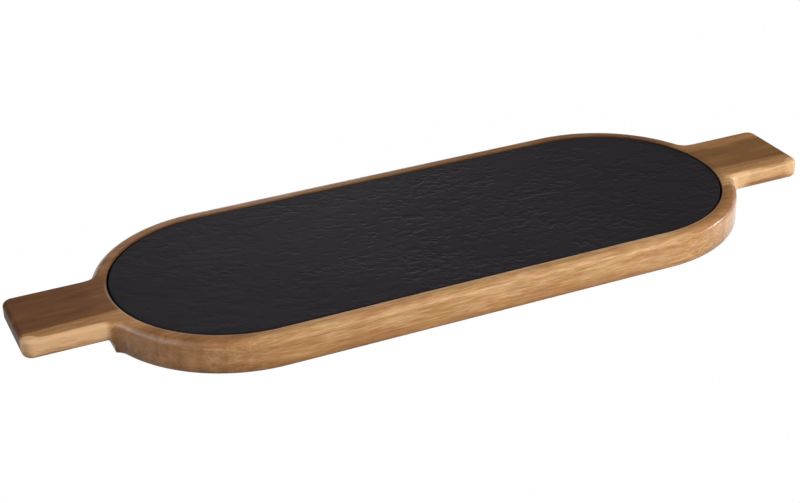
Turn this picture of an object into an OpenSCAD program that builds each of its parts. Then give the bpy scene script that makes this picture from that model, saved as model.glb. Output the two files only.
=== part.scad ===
// Two-handled wooden serving board with a slate plate let into its top.
// Millimetres, +X along the board, +Y to the back, +Z up.
// The origin is on the underside, at the middle of the board.

/* [Board] */
// Width of the wooden board across its long sides
board_w = 150; // [130:1:180]
// Length of the straight long sides, between the round ends
straight_l = 220; // [120:1:320]
// Thickness of the wooden board
board_t = 18; // [16:0.5:24]
// Radius of the round-over along the top edge
top_edge_r = 4; // [2:0.5:5]
// Radius of the round-over along the bottom edge
bottom_edge_r = 2.5; // [1:0.5:3.5]

/* [Handles] */
// Width of each handle
handle_w = 49; // [38:1:60]
// Reach of each handle past the round end of the board
handle_l = 42.5; // [30:0.5:60]
// Thickness of each handle, down from the top face
handle_t = 10.7; // [9:0.1:13]
// Corner radius at the free end of a handle, seen from above
handle_corner_r = 5.5; // [5:0.5:14]
// Radius of the round-over along the upper edge of a handle
handle_upper_edge_r = 2.5; // [1:0.5:4]
// Radius of the round-over along the lower edge of a handle
handle_lower_edge_r = 3; // [1:0.5:4]
// Radius of the sweep where a handle runs into the board, seen from above
root_fillet_r = 8; // [5:0.5:14]
// How far the gap under a handle is cut into the round end
gap_inset = 2; // [0:0.5:3]
// Radius of the hollow where that gap ends, against the underside of the handle
gap_cove_r = 3; // [2:0.5:5]

/* [Staves] */
// Width of the centre stave, between its two glue lines
centre_stave_w = 43; // [34:1:48]
// How far the middle of the centre stave lies behind the middle of the board
centre_stave_y = 5.5; // [0:0.5:8]

/* [Slate] */
// Width of the wooden rim around the recess
rim_w = 8.5; // [7:0.5:16]
// Thickness of the slate plate
slate_t = 5; // [3:0.5:8]
// Gap between the slate and the wall of the recess, all round
slate_gap = 0.8; // [0.5:0.1:2]
// Depth of the slate's face below the rim
slate_drop = 0.25; // [0:0.05:1]
// Width of the dressed upper edge of the slate
slate_edge = 0.5; // [0.2:0.1:1.5]
// Width of the eased edge around the mouth of the recess
recess_arris = 0.8; // [0.2:0.1:1.5]

/* [Pads] */
// Diameter of each pad under the slate
pad_d = 10; // [6:1:16]
// Thickness of each pad
pad_t = 1; // [0.5:0.1:2]
// Distance of the pad centres from the wall of the recess
pad_inset = 26; // [12:1:32]
// Pads along each long side
pad_columns = 3; // [2:1:5]

/* [Hidden] */

// Fineness of every circle
$fn = 96;
// How far a cut runs past the face that it opens
overrun = 1;
// How far a rounded surface dips into its neighbour, so that the two cross cleanly
blend_dip = 0.05;

end_r = board_w / 2;
arc_x = straight_l / 2;
handle_half_w = handle_w / 2;
handle_end_x = arc_x + end_r + handle_l;
handle_z = board_t - handle_t;
corner_x = handle_end_x - handle_corner_r;
corner_y = handle_half_w - handle_corner_r;
gap_x = arc_x + end_r - gap_inset;
cove_r = min(gap_cove_r, handle_z - bottom_edge_r);
cove_half_w = handle_half_w - handle_lower_edge_r;
fillet_y = handle_half_w + root_fillet_r - blend_dip;
fillet_x = arc_x + sqrt(pow(end_r + root_fillet_r - blend_dip, 2) - pow(fillet_y, 2));
front_glue_y = centre_stave_y - centre_stave_w / 2;
rear_glue_y = centre_stave_y + centre_stave_w / 2;
recess_r = end_r - rim_w;
slate_r = recess_r - slate_gap;
slate_z = board_t - slate_drop - slate_t;
recess_z = slate_z - pad_t;
pad_y = recess_r - pad_inset;

// What a round-over takes off a corner at the origin, with the wood to the left and below
module corner_waste(r) {
    inset = r - blend_dip;
    difference() {
        translate([-inset, -inset]) square(inset + overrun);
        translate([-inset, -inset]) circle(r);
    }
}

// Half-section of an edge: reach outwards, height up, rounded above and below
module edge_section(reach, height, upper_r, lower_r) {
    difference() {
        square([reach, height]);
        translate([reach, height]) corner_waste(upper_r);
        translate([reach, 0]) mirror([0, 1]) corner_waste(lower_r);
    }
}

// A bar along +X whose section is a half-section and its mirror image
module bar_along_x(length) {
    rotate([90, 0, 90])
        linear_extrude(length) {
            children();
            mirror([1, 0]) children();
        }
}

// A half-section carried round an oblong with straight sides and round ends
module oblong() {
    translate([-arc_x, 0, 0]) bar_along_x(straight_l) children();
    for (end = [0, 1])
        mirror([end, 0, 0])
            translate([arc_x, 0, 0])
                rotate_extrude(angle = 180, start = -90) children();
}

// The handle at the +X end, running back into the board as far as the arc's centre
module handle() {
    translate([arc_x, 0, handle_z])
        bar_along_x(corner_x - arc_x)
            edge_section(handle_half_w, handle_t, handle_upper_edge_r, handle_lower_edge_r);
    translate([corner_x, corner_y, handle_z])
        rotate([90, 0, 0])
            linear_extrude(2 * corner_y)
                edge_section(handle_corner_r, handle_t, handle_upper_edge_r, handle_lower_edge_r);
    for (side = [0, 1])
        mirror([0, side, 0])
            translate([corner_x, corner_y, handle_z])
                rotate_extrude(angle = 90)
                    edge_section(handle_corner_r, handle_t, handle_upper_edge_r, handle_lower_edge_r);
}

// Plan of the wood that joins a handle to the round end
module root_plan() {
    polygon([[arc_x, 0], [fillet_x, fillet_y], [fillet_x, -fillet_y]]);
    translate([arc_x, -cove_half_w]) square([gap_x + cove_r - arc_x, 2 * cove_half_w]);
}

// Section of the gap under the handle at the +X end: it ends in a hollow above, and the edge that it
// leaves below is rounded
module gap_section() {
    difference() {
        translate([gap_x, -overrun]) square([handle_end_x - gap_x, handle_z + overrun]);
        difference() {
            translate([gap_x - overrun, handle_z - cove_r]) square(cove_r + overrun);
            translate([gap_x + cove_r, handle_z - cove_r]) circle(cove_r);
        }
    }
    translate([gap_x, 0]) mirror([0, 1]) corner_waste(bottom_edge_r);
}

// Half-section of the waste at a root fillet, from the fillet's own centre line
module fillet_waste_section() {
    translate([0, -overrun]) square([root_fillet_r, board_t + 2 * overrun]);
    translate([root_fillet_r, board_t]) mirror([1, 0]) corner_waste(top_edge_r);
    translate([root_fillet_r, 0]) mirror([1, 0]) mirror([0, 1]) corner_waste(bottom_edge_r);
}

// The swept wood between a handle and the round end
module handle_root() {
    difference() {
        linear_extrude(board_t) root_plan();
        for (side = [0, 1])
            mirror([0, side, 0])
                translate([fillet_x, fillet_y, 0]) rotate_extrude() fillet_waste_section();
    }
}

// The gap under the handle at the +X end, cut straight across
module handle_gap() {
    translate([0, end_r, 0]) rotate([90, 0, 0]) linear_extrude(board_w) gap_section();
}

// The recess for the slate, with its eased mouth
module recess() {
    oblong()
        polygon([
            [0, recess_z],
            [recess_r, recess_z],
            [recess_r, board_t - recess_arris],
            [recess_r + recess_arris, board_t],
            [recess_r + recess_arris, board_t + overrun],
            [0, board_t + overrun]
        ]);
}

// The whole glued-up board, shaped and recessed
module board() {
    difference() {
        union() {
            difference() {
                oblong() edge_section(end_r, board_t, top_edge_r, bottom_edge_r);
                for (end = [0, 1]) mirror([end, 0, 0]) handle_gap();
            }
            for (end = [0, 1])
                mirror([end, 0, 0]) {
                    handle();
                    difference() {
                        handle_root();
                        handle_gap();
                    }
                }
        }
        recess();
    }
}

// The part of the board between two glue lines
module stave(low_y, high_y) {
    intersection() {
        board();
        translate([-handle_end_x - overrun, low_y, -overrun])
            cube([2 * (handle_end_x + overrun), high_y - low_y, board_t + 2 * overrun]);
    }
}

module front_stave() {
    color("#c59a69") stave(-end_r - overrun, front_glue_y);
}

module centre_stave() {
    color("#75502f") stave(front_glue_y, rear_glue_y);
}

module rear_stave() {
    color("#a17a4f") stave(rear_glue_y, end_r + overrun);
}

module slate_plate() {
    color("#2d2c2f")
        translate([0, 0, slate_z])
            oblong()
                polygon([
                    [0, 0],
                    [slate_r, 0],
                    [slate_r, slate_t - slate_edge],
                    [slate_r - slate_edge, slate_t],
                    [0, slate_t]
                ]);
}

module slate_pads() {
    color("#d9d8d2")
        for (column = [0 : pad_columns - 1], side = [-1, 1])
            translate([-arc_x + column * straight_l / (pad_columns - 1), side * pad_y, recess_z])
                cylinder(d = pad_d, h = pad_t);
}

front_stave();
centre_stave();
rear_stave();
slate_plate();
slate_pads();
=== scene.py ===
"""Looks of a two-handled acacia serving board with a riven slate plate let into its top.

Metres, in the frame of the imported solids: +X along the board, +Y to the back and +Z up, with the
origin on the underside at the middle of the board.
"""

import logging
import math
from dataclasses import dataclass
from enum import Enum
from typing import Union

import bmesh
import bpy
import numpy as np
from mathutils import Matrix, Vector


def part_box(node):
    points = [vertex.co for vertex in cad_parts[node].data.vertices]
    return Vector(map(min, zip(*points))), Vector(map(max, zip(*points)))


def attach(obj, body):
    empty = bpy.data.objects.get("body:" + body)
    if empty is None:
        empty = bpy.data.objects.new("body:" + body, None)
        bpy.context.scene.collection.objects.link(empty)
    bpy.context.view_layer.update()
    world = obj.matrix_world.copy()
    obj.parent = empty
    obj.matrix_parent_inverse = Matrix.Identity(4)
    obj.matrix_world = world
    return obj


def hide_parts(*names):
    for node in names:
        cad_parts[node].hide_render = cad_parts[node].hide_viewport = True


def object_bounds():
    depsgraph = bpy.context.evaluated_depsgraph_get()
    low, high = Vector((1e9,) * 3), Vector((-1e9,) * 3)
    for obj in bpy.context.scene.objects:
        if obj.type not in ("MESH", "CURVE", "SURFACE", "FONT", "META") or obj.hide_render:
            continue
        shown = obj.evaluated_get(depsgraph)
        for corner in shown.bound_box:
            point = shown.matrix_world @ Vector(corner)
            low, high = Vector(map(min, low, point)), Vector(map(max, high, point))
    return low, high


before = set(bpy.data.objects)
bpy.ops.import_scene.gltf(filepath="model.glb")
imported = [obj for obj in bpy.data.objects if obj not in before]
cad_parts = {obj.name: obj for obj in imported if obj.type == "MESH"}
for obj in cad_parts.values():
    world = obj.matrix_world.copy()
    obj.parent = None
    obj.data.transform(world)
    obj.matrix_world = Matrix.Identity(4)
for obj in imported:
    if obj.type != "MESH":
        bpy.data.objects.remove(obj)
cad_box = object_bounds()

LOG = logging.getLogger("serving_board")
WELD = 1e-6
END_GRAIN = "end_grain"
QUARTER = math.pi / 2
MILLIMETRE = 0.001
WHITE = (1.0, 1.0, 1.0, 1.0)

Feed = Union[float, tuple, "Term", bpy.types.NodeSocket]


class Body(Enum):
    """The bodies that a piece can ride on."""

    BOARD = "board"
    SLATE = "slate"


class Slot(Enum):
    """The material slots of the record."""

    FRONT = "acacia_front"
    CENTRE = "acacia_centre"
    REAR = "acacia_rear"
    SLATE = "slate"
    PAD = "pad"


def srgb(red: int, green: int, blue: int) -> tuple[float, float, float, float]:
    """Turns a display colour into the linear colour that a shader takes.

    Args:
        red: Red, from 0 to 255.
        green: Green, from 0 to 255.
        blue: Blue, from 0 to 255.

    Returns:
        The linear red, green, blue and a full alpha.
    """
    shares = np.array([red, green, blue]) / 255
    linear = np.where(shares <= 0.04045, shares / 12.92, ((shares + 0.055) / 1.055) ** 2.4)
    return (*linear.tolist(), 1.0)


class Term:
    """A number in a shader. Arithmetic on it adds Math nodes."""

    def __init__(self, shader: "Shader", socket: bpy.types.NodeSocket) -> None:
        """Wraps one output socket of a shader."""
        self.shader = shader
        self.socket = socket

    def combine(self, operation: str, first: Feed, second: Feed) -> "Term":
        """Adds one Math node that does the operation on two values or links, and gives its result."""
        made = self.shader.node("ShaderNodeMath", {"operation": operation}, {0: first, 1: second})
        return Term(self.shader, made.outputs[0])

    def __add__(self, other: Feed) -> "Term":
        """This plus another."""
        return self.combine("ADD", self, other)

    def __radd__(self, other: Feed) -> "Term":
        """Another plus this."""
        return self.combine("ADD", other, self)

    def __sub__(self, other: Feed) -> "Term":
        """This less another."""
        return self.combine("SUBTRACT", self, other)

    def __rsub__(self, other: Feed) -> "Term":
        """Another less this."""
        return self.combine("SUBTRACT", other, self)

    def __mul__(self, other: Feed) -> "Term":
        """This times another."""
        return self.combine("MULTIPLY", self, other)

    def __rmul__(self, other: Feed) -> "Term":
        """Another times this."""
        return self.combine("MULTIPLY", other, self)

    def __abs__(self) -> "Term":
        """This without its sign."""
        return self.combine("ABSOLUTE", self, 0.0)

    def root(self) -> "Term":
        """The square root of this."""
        return self.combine("SQRT", self, 0.0)

    def at_least(self, other: Feed) -> "Term":
        """The larger one of this and another."""
        return self.combine("MAXIMUM", self, other)

    def eased(self, low: float, high: float, bottom: float = 0.0, top: float = 1.0) -> "Term":
        """Carries this smoothly from one range to another, with no overshoot.

        Args:
            low: Where the rise starts.
            high: Where the rise ends.
            bottom: The result up to low.
            top: The result from high on.

        Returns:
            The eased number.
        """
        sockets = {"Value": self, "From Min": low, "From Max": high, "To Min": bottom, "To Max": top}
        made = self.shader.node("ShaderNodeMapRange", {"interpolation_type": "SMOOTHSTEP"}, sockets)
        return Term(self.shader, made.outputs["Result"])


@dataclass(frozen=True)
class Grain:
    """A noise drawn out along the board: the size of its marks, how fine it breaks up and its own shift."""

    length: float
    width: float
    detail: float
    roughness: float = 0.5
    shift: float = 0.0


class Shader:
    """A node tree, with one method that adds any node."""

    # How a noise's shift is shared out over its three axes, and the mean of a noise
    SHIFT_SHARES = (1.0, 1.7, 0.6)
    NOISE_MEAN = 0.5

    def __init__(self, tree: bpy.types.NodeTree) -> None:
        """Empties the tree."""
        self.tree = tree
        self.tree.nodes.clear()

    def node(self, kind: str, settings: dict | None = None, sockets: dict | None = None) -> bpy.types.Node:
        """Adds one node.

        Args:
            kind: The node's type.
            settings: Its properties, set first; "stops" holds a ramp's places and colours.
            sockets: Values or links by the input's number, identifier or name.

        Returns:
            The node.
        """
        made = self.tree.nodes.new(kind)
        for name, value in (settings or {}).items():
            if name == "stops":
                self._set_stops(made.color_ramp, value)
            else:
                setattr(made, name, value)
        for key, value in (sockets or {}).items():
            self._feed(self._input(made, key), value)
        return made

    @staticmethod
    def _set_stops(ramp: bpy.types.ColorRamp, stops: tuple) -> None:
        """Gives a ramp its stops.

        Args:
            ramp: The ramp.
            stops: The stops, each a place and a colour.
        """
        for place, _ in stops[2:]:
            ramp.elements.new(place)
        for element, (place, colour) in zip(ramp.elements, stops):
            element.position = place
            element.color = colour

    @staticmethod
    def _input(made: bpy.types.Node, key: int | str) -> bpy.types.NodeSocket:
        """Finds an input of a node.

        Args:
            made: The node.
            key: The input's number, identifier or name.

        Returns:
            The input.
        """
        if isinstance(key, int):
            return made.inputs[key]
        found = [socket for socket in made.inputs if socket.identifier == key]
        return found[0] if found else made.inputs[key]

    def _feed(self, socket: bpy.types.NodeSocket, value: Feed) -> None:
        """Links an input, or sets its value.

        Args:
            socket: The input.
            value: A term or an output to link, or a plain value.
        """
        if isinstance(value, Term):
            self.tree.links.new(value.socket, socket)
        elif isinstance(value, bpy.types.NodeSocket):
            self.tree.links.new(value, socket)
        else:
            socket.default_value = value

    def place(self) -> bpy.types.NodeSocket:
        """Object coordinates."""
        return self.node("ShaderNodeTexCoord").outputs["Object"]

    def parts(self, vector: bpy.types.NodeSocket) -> tuple[Term, Term, Term]:
        """The three numbers of a vector."""
        split = self.node("ShaderNodeSeparateXYZ", sockets={"Vector": vector})
        return tuple(Term(self, socket) for socket in split.outputs)

    def stretched(self, at: bpy.types.NodeSocket, grain: Grain, seed: float = 0.0) -> bpy.types.Node:
        """Adds a noise whose marks run along X.

        Args:
            at: The place on the surface.
            grain: The size, fineness and shift of the marks.
            seed: How far the noise is shifted besides.

        Returns:
            The Noise Texture node.
        """
        scale = (1 / grain.length, 1 / grain.width, 1 / grain.width)
        shift = tuple((seed + grain.shift) * share for share in self.SHIFT_SHARES)
        mapped = self.node("ShaderNodeMapping", sockets={"Vector": at, "Location": shift, "Scale": scale})
        sockets = {
            "Vector": mapped.outputs["Vector"],
            "Scale": 1.0,
            "Detail": grain.detail,
            "Roughness": grain.roughness,
        }
        return self.node("ShaderNodeTexNoise", {"noise_dimensions": "3D"}, sockets)

    def grain(self, at: bpy.types.NodeSocket, grain: Grain, seed: float = 0.0) -> Term:
        """A drawn-out noise as a number that runs about evenly either side of zero."""
        return Term(self, self.stretched(at, grain, seed).outputs[0]) - self.NOISE_MEAN

    def mixed(self, share: Feed, first: Feed, second: Feed, blend: str = "MIX") -> bpy.types.NodeSocket:
        """Mixes two colours.

        Args:
            share: How much of the second colour shows.
            first: The colour below.
            second: The colour above.
            blend: How the second colour acts on the first.

        Returns:
            The mixed colour.
        """
        settings = {"data_type": "RGBA", "blend_type": blend}
        sockets = {"Factor_Float": share, "A_Color": first, "B_Color": second}
        made = self.node("ShaderNodeMix", settings, sockets)
        return next(socket for socket in made.outputs if socket.identifier == "Result_Color")

    def bump(self, height: Term, distance: float) -> bpy.types.NodeSocket:
        """A normal from a height between about -1 and 1 that stands for a depth in metres."""
        sockets = {"Height": height, "Distance": distance, "Strength": 1.0}
        return self.node("ShaderNodeBump", sockets=sockets).outputs["Normal"]

    def surface(self, sockets: dict) -> None:
        """Ends a material with a Principled surface."""
        made = self.node("ShaderNodeBsdfPrincipled", sockets=sockets)
        self.node("ShaderNodeOutputMaterial", sockets={"Surface": made.outputs["BSDF"]})


def new_material(name: str) -> tuple[bpy.types.Material, Shader]:
    """Makes a material with an empty node tree.

    Args:
        name: The material's name.

    Returns:
        The material and its shader.
    """
    material = bpy.data.materials.new(name)
    material.use_nodes = True
    return material, Shader(material.node_tree)


@dataclass(frozen=True)
class AcaciaFinish:
    """Lacquered acacia: one stave's tone, the dark heart that crosses it and where its figure starts.

    Places are given along the board (x), across it (y) and over its underside (z). A pair of them is where
    a change starts and where it ends. A pair of depths or lifts is for the -X end and for the +X end.
    """

    name: str
    seed: float
    # Tone from 0, darkest heart, to 1, palest sap, and its rise from the -X end to the +X end
    tone: float
    tone_rise: float
    # How far the heart darkens, how far the sap at the handles' fronts pales, and how much further it
    # pales at both ends of a handle, partly as sap and partly as a painted highlight
    heart_depth: tuple = (0.0, 0.0)
    sap_lift: tuple = (0.0, 0.0)
    sap_and_glint_ends: tuple = (0.0, 0.0)
    # How far the shade darkens: a band of darker grain, kept to the top face as painted shade
    shade_depth: float = 0.0
    # How far the wood leans to olive, from 0 to 1
    olive: float = 0.35
    # How strongly bands, streaks, fibres and mottling mark the wood, and how thick its lacquer lies
    band_depth: float = 0.2
    streak_depth: float = 0.38
    fibre_depth: float = 0.58
    mottle_depth: float = 0.26
    lacquer: float = 0.32

    # The heart: its front and rear edge at each end, how far the front edge falls back per length towards
    # the middle, how soft and how wavy the edges are, and how much of it is left past the root of the
    # handle at the -X end
    heart_left: tuple = (-0.0154, 0.034)
    heart_right: tuple = (-0.0140, 0.0135)
    heart_fall: float = 0.045
    heart_edge: float = 0.0014
    heart_rear_edge: float = 0.0056
    heart_wave: float = 0.004
    heart_root_x: tuple = (-0.195, -0.172)
    heart_root: float = 0.75
    # The halo in front of the heart
    halo_depth: float = 0.10
    halo_w: float = 0.022
    # The shade: a band of darker grain across the stave, kept to the top face as painted shade; its front and
    # rear edge, how far it comes to the front per length past a place along the board, and how wavy it is
    # across and in height
    shade_front: tuple = (-0.0685, -0.0605)
    shade_rear: tuple = (-0.030, -0.022)
    shade_x: float = 0.09
    shade_slant: float = 0.1
    shade_z: tuple = (0.0145, 0.0165)
    shade_wave: tuple = (0.004, 0.002)
    # Painted shade on the rim: how far it darkens towards the recess at the +X end
    rim_shade_depth: float = 0.12
    right_rim_x: tuple = (0.11, 0.15)
    rim_shade_w: float = 0.0045
    # Painted shade in the hollow at the root: how far the wood in front of the root darkens at the -X end
    root_shade_depth: float = 0.04
    root_shade_x: tuple = (-0.180, -0.170)
    root_shade_y: tuple = (-0.030, -0.026)
    # The foot, painted shade: how far the wood darkens down to the underside and down to the handles'
    # undersides
    low_shade_depth: float = 0.18
    low_shade_z: float = 0.010
    low_shade_wave: float = 0.006
    grip_shade_depth: float = 0.24
    grip_shade_x: tuple = (0.186, 0.190)
    grip_shade_z: tuple = (0.0078, 0.0145)
    # The sap: a thin layer just behind the handles' front faces, between its front and its back, that is
    # left out between the handles, reaches further back at a handle's tip, pales further at a reach from a
    # handle's middle, partly as sap and partly as a painted highlight, and is made wavy by streaks and, more
    # so, by mottling
    sap_front: tuple = (-0.0268, -0.0258)
    sap_back: tuple = (-0.0232, -0.0214)
    sap_left: tuple = (-0.189, -0.182)
    sap_right: tuple = (0.174, 0.182)
    sap_tip: tuple = (0.2165, 0.2235)
    sap_wrap: float = 0.0035
    sap_mid: float = 0.206
    sap_and_glint_reach: tuple = (0.010, 0.020)
    sap_wave: float = 0.001
    sap_mottle: float = 2.0
    # End grain: how far it darkens, how strongly it is banded, how much of the fibres it hides, and how
    # much thicker the lacquer lies on it, on the board and, past a place, on a handle
    end_depth: tuple = (0.1, 0.2)
    facet_depth: float = 0.5
    end_hush: float = 0.7
    end_lacquer: tuple = (0.75, 0.1)
    end_lacquer_x: tuple = (0.188, 0.198)
    # The recess: its ends' centres, its reach from them, the heights just under its floor where it starts,
    # and the width of its eased mouth
    arc_x: float = 0.110
    recess_r: float = 0.0665
    floor_z: tuple = (0.0107, 0.0112)
    arris_w: float = 0.0008
    # Painted shade in the recess: how soft its edge is, the reach where it starts on the floor, and how far
    # it takes the mouth too, at the back
    recess_shade_edge: float = 0.0004
    recess_shade_foot: tuple = (0.0625, 0.0653)
    recess_shade_y: tuple = (0.02, 0.05)
    recess_shade_mouth: float = 0.6
    # The bare wood of the recess: how far inside and outside the rim of the mouth its soft edge lies
    bed_inside: float = 0.0001
    bed_outside: float = 0.0002
    # A painted highlight on the lip: how far it pales the rim next to the mouth, and how much of that is left
    # at the +X end
    lip_highlight_depth: float = 0.26
    lip_highlight_w: float = 0.0012
    lip_highlight_y: tuple = (0.0, 0.03)
    lip_highlight_end: float = 0.5

    half_length: float = 0.2275
    wander: Grain = Grain(length=0.16, width=0.06, detail=1.0)
    wander_y: float = 0.008
    band: Grain = Grain(length=0.22, width=0.012, detail=2.0, shift=3.1)
    mottle: Grain = Grain(length=0.018, width=0.0048, detail=2.0, shift=5.3)
    streak: Grain = Grain(length=0.045, width=0.0022, detail=3.0, roughness=0.6, shift=7.7)
    fibre: Grain = Grain(length=0.009, width=0.0007, detail=2.0, roughness=0.6, shift=11.3)
    pore: Grain = Grain(length=0.0042, width=0.0004, detail=0.0, shift=17.9)
    hue: Grain = Grain(length=0.028, width=0.006, detail=2.0, shift=23.3)
    facet: Grain = Grain(length=0.005, width=0.005, detail=1.0, shift=29.1)

    # Pores: the noise that opens them and how dark they are
    pore_cut: tuple = (0.2, 0.3)
    pore_depth: float = 0.22
    pore_colour: tuple = srgb(58, 35, 22)
    # The lean from red to olive, and how much redder the wood is at the -X end
    lean_cut: tuple = (0.2, 0.8)
    red_lean: float = 0.25
    red_x: tuple = (-0.18, -0.09)
    red_tint: tuple = (1.0, 0.94, 0.90, 1.0)
    olive_tint: tuple = (0.95, 1.0, 0.82, 1.0)
    # The painted highlight's colour at the lip
    lip_highlight_colour: tuple = srgb(206, 188, 166)
    # The painted shade's colour in the recess
    recess_shade_colour: tuple = srgb(62, 43, 28)
    # Roughness and what is added to it, what fibres and streaks add to the lacquer, and the relief
    roughness: float = 0.5
    fibre_rough: float = 0.16
    pore_rough: float = 0.12
    bed_rough: float = 0.3
    fibre_lacquer: float = 0.6
    streak_lacquer: float = 0.4
    fibre_relief: float = 0.5
    relief_depth: float = 0.00004

    @property
    def mouth_r(self) -> float:
        """Reach of the rim of the recess's mouth."""
        return self.recess_r + self.arris_w

    def tones(self) -> tuple:
        """The ramp from the darkest heart to the palest sap.

        Returns:
            Its stops, each a place and a colour.
        """
        return (
            (0.0, srgb(58, 34, 21)),
            (0.25, srgb(98, 64, 41)),
            (0.5, srgb(143, 98, 59)),
            (0.75, srgb(188, 140, 92)),
            (1.0, srgb(230, 190, 144)),
        )

    def material(self) -> bpy.types.Material:
        """Builds the finish.

        The grain wanders slowly across the stave as it runs along it. Broad bands, mottling, streaks and
        fibres drawn out along that line shift the tone. The heart darkens it, and so does a band of darker
        grain that is kept to the top face as painted shade. Painted shade darkens the rim by the recess at
        the +X end, the hollow in front of the root at the -X end, and the wood towards the undersides. The
        sap pales it, and at both ends of a handle a painted highlight adds to the sap. End grain drinks more
        oil and is banded.
        A slow noise turns the colour from red to olive, short pores dot it, a painted highlight pales the lip
        of the recess, and painted shade darkens the recess's wall and its mouth at the back; the recess has
        no lacquer. Pores and fibres also set the gloss and a shallow relief.

        Returns:
            The material.
        """
        material, shader = new_material(self.name)
        place = shader.place()
        along, across, height = shader.parts(place)
        drift = shader.stretched(place, self.wander, self.seed).outputs[1]
        sockets = {0: drift, 1: (0.0, self.wander_y, self.wander_y), 2: place}
        bent = shader.node("ShaderNodeVectorMath", {"operation": "MULTIPLY_ADD"}, sockets).outputs[0]
        grains = (self.band, self.mottle, self.streak, self.fibre, self.pore, self.hue)
        band, mottle, streak, fibre, pits, hue = (shader.grain(bent, grain, self.seed) for grain in grains)
        pore = pits.eased(*self.pore_cut)
        plan = shader.node("ShaderNodeCombineXYZ", sockets={"X": along, "Y": across}).outputs["Vector"]
        facet = shader.grain(plan, self.facet, self.seed)
        end = Term(shader, shader.node("ShaderNodeAttribute", {"attribute_name": END_GRAIN}).outputs["Fac"])
        reach = self.reach(along, across)

        wave_y, wave_z = self.shade_wave
        tone = along * (self.tone_rise / self.half_length) + self.tone + end * facet * self.facet_depth
        tone = tone - self.heart(along, across + (band + mottle + streak) * self.heart_wave)
        tone = tone + self.sap(along, across + (streak + mottle * self.sap_mottle) * self.sap_wave)
        tone = tone - end * along.eased(-self.arc_x, self.arc_x, *self.end_depth)
        # Painted shade in the hollow in front of the handle's root at the -X end
        tone = tone - across.eased(*self.root_shade_y, self.root_shade_depth, 0.0) * along.eased(*self.root_shade_x, 1.0, 0.0)
        # A band of darker grain, kept to the top face as painted shade
        tone = tone - self.shade(along, across + streak * wave_y, height + mottle * wave_z)
        # Painted shade towards the undersides of the board and of the handles
        tone = tone - self.foot(along, height + streak * self.low_shade_wave)
        # Painted shade on the rim next to the recess at the +X end
        tone = tone - self.painted_rim_shade(along, reach)
        lines = streak * self.streak_depth + fibre * (1.0 - end * self.end_hush) * self.fibre_depth
        tone = tone + band * self.band_depth + mottle * self.mottle_depth + lines * tone

        ramp = shader.node("ShaderNodeValToRGB", {"stops": self.tones()}, {"Fac": tone})
        lean = (hue + self.olive - along.eased(*self.red_x, self.red_lean, 0.0)).eased(*self.lean_cut)
        tint = shader.mixed(lean, self.red_tint, self.olive_tint)
        tinted = shader.mixed(1.0, ramp.outputs["Color"], tint, "MULTIPLY")
        dotted = shader.mixed(pore * self.pore_depth, tinted, self.pore_colour)
        # Painted highlight on the lip of the recess
        lip_highlighted = shader.mixed(self.painted_lip_highlight(along, across, reach), dotted, self.lip_highlight_colour)
        # Painted shade on the recess's wall and on its mouth at the back
        recess_shaded = shader.mixed(self.painted_recess_shade(reach, across, height), lip_highlighted, self.recess_shade_colour)

        bed = self.bed(reach, height)
        thicker = end * abs(along).eased(*self.end_lacquer_x, *self.end_lacquer)
        lacquer = self.lacquer + thicker + fibre * self.fibre_lacquer + streak * self.streak_lacquer
        rough = self.roughness + fibre * self.fibre_rough + pore * self.pore_rough + bed * self.bed_rough
        shader.surface({
            "Base Color": recess_shaded,
            "Roughness": rough,
            "Specular IOR Level": 0.05,
            "Coat Weight": lacquer * (1.0 - bed),
            "Coat Roughness": 0.26,
            "Normal": shader.bump(fibre * self.fibre_relief - pore, self.relief_depth),
        })
        return material

    def reach(self, along: Term, across: Term) -> Term:
        """Measures how far a place lies from the recess's middle line, seen from above."""
        past = (abs(along) - self.arc_x).at_least(0.0)
        return (past * past + across * across).root()

    def heart(self, along: Term, across: Term) -> Term:
        """Works out how far the heart, and the halo in front of it, darken a place.

        The heart's edges run straight between their places at both ends, and its front edge falls back
        from there towards the middle of the board. The halo fades out in front of that edge.

        Args:
            along: Place along the board.
            across: Place across it.

        Returns:
            The drop in tone.
        """
        length = 2 * self.half_length
        pairs = tuple(zip(self.heart_left, self.heart_right))
        front_slope, rear_slope = ((right - left) / length for left, right in pairs)
        front_mid, rear_mid = ((left + right) / 2 for left, right in pairs)
        front = along * front_slope + front_mid + (self.half_length - abs(along)) * self.heart_fall
        rear = along * rear_slope + rear_mid
        past_front = (across - front).eased(-self.heart_edge, self.heart_edge)
        heart = past_front * (rear - across).eased(-self.heart_rear_edge, self.heart_rear_edge)
        halo = (across - front).eased(-self.halo_w, -self.heart_edge)
        left_depth, right_depth = self.heart_depth
        depth = along * ((right_depth - left_depth) / length) + (left_depth + right_depth) / 2
        root = along.eased(*self.heart_root_x, 1.0, self.heart_root)
        return heart * depth * root + halo * self.halo_depth

    def sap(self, along: Term, across: Term) -> Term:
        """Works out how far the sap pales a place: a thin layer that stops short of the handles' roots.

        The layer reaches further back at the free end of a handle, and is palest at both ends of it, partly
        as sap and partly as a painted highlight.

        Args:
            along: Place along the board.
            across: Place across it.

        Returns:
            The rise in tone.
        """
        back = across - abs(along).eased(*self.sap_tip, 0.0, self.sap_wrap)
        layer = across.eased(*self.sap_front) * back.eased(*self.sap_back, 1.0, 0.0)
        between = along.eased(*self.sap_left) * along.eased(*self.sap_right, 1.0, 0.0)
        # Paler at both ends of a handle: partly sap, partly a painted highlight
        ends = abs(abs(along) - self.sap_mid).eased(*self.sap_and_glint_reach)
        ends = ends * along.eased(-self.arc_x, self.arc_x, *self.sap_and_glint_ends)
        lift = along.eased(-self.arc_x, self.arc_x, *self.sap_lift)
        return layer * (1.0 - between) * (lift + ends)

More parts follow.
